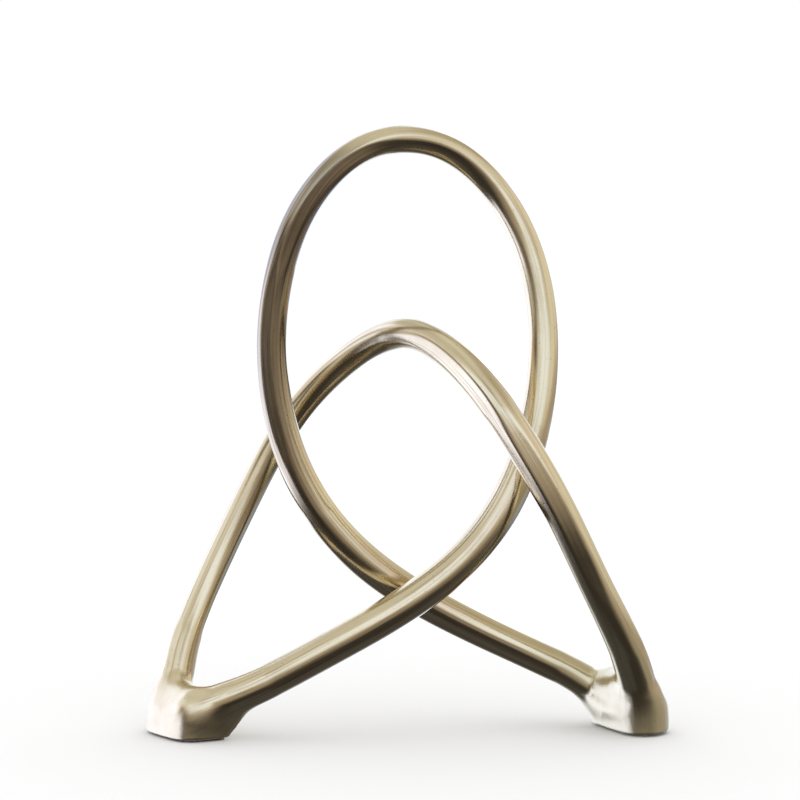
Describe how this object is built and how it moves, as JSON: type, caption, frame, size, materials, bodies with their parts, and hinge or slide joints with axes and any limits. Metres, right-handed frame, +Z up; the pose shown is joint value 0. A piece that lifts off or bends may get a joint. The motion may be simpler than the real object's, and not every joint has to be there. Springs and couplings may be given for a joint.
{
  "type": "trefoil knot sculpture",
  "caption": "Free-standing closed trefoil knot of satin cast brass rod: a tall loop threaded through a low arch, on two thick flat-bottomed feet.",
  "frame": {"origin": "on the table, under the middle of the sculpture", "axes": "+Z up, +X to the viewer's right, +Y away from the viewer"},
  "size_m": [0.2586, 0.0856, 0.3014],
  "materials": {
    "cast_brass": "satin, aged pale brass, fine grain along the rod, soft hand-filed ridges and small marks",
    "pin_brass": "drawn bar, plain",
    "felt": "thin pressed felt"
  },
  "bodies": {
    "root": {"left_foot": "cast_brass", "front_sweep": "cast_brass", "right_flank": "cast_brass", "loop_crown": "cast_brass", "left_flank": "cast_brass", "back_sweep": "cast_brass", "right_foot": "cast_brass", "right_leg": "cast_brass", "arch_crown": "cast_brass", "left_leg": "cast_brass", "dowel_pin_1": "pin_brass", "dowel_pin_2": "pin_brass", "dowel_pin_3": "pin_brass", "dowel_pin_4": "pin_brass", "dowel_pin_5": "pin_brass", "dowel_pin_6": "pin_brass", "dowel_pin_7": "pin_brass", "dowel_pin_8": "pin_brass", "dowel_pin_9": "pin_brass", "dowel_pin_10": "pin_brass", "left_foot_pad": "felt", "right_foot_pad": "felt"}
  },
  "joints": []
}
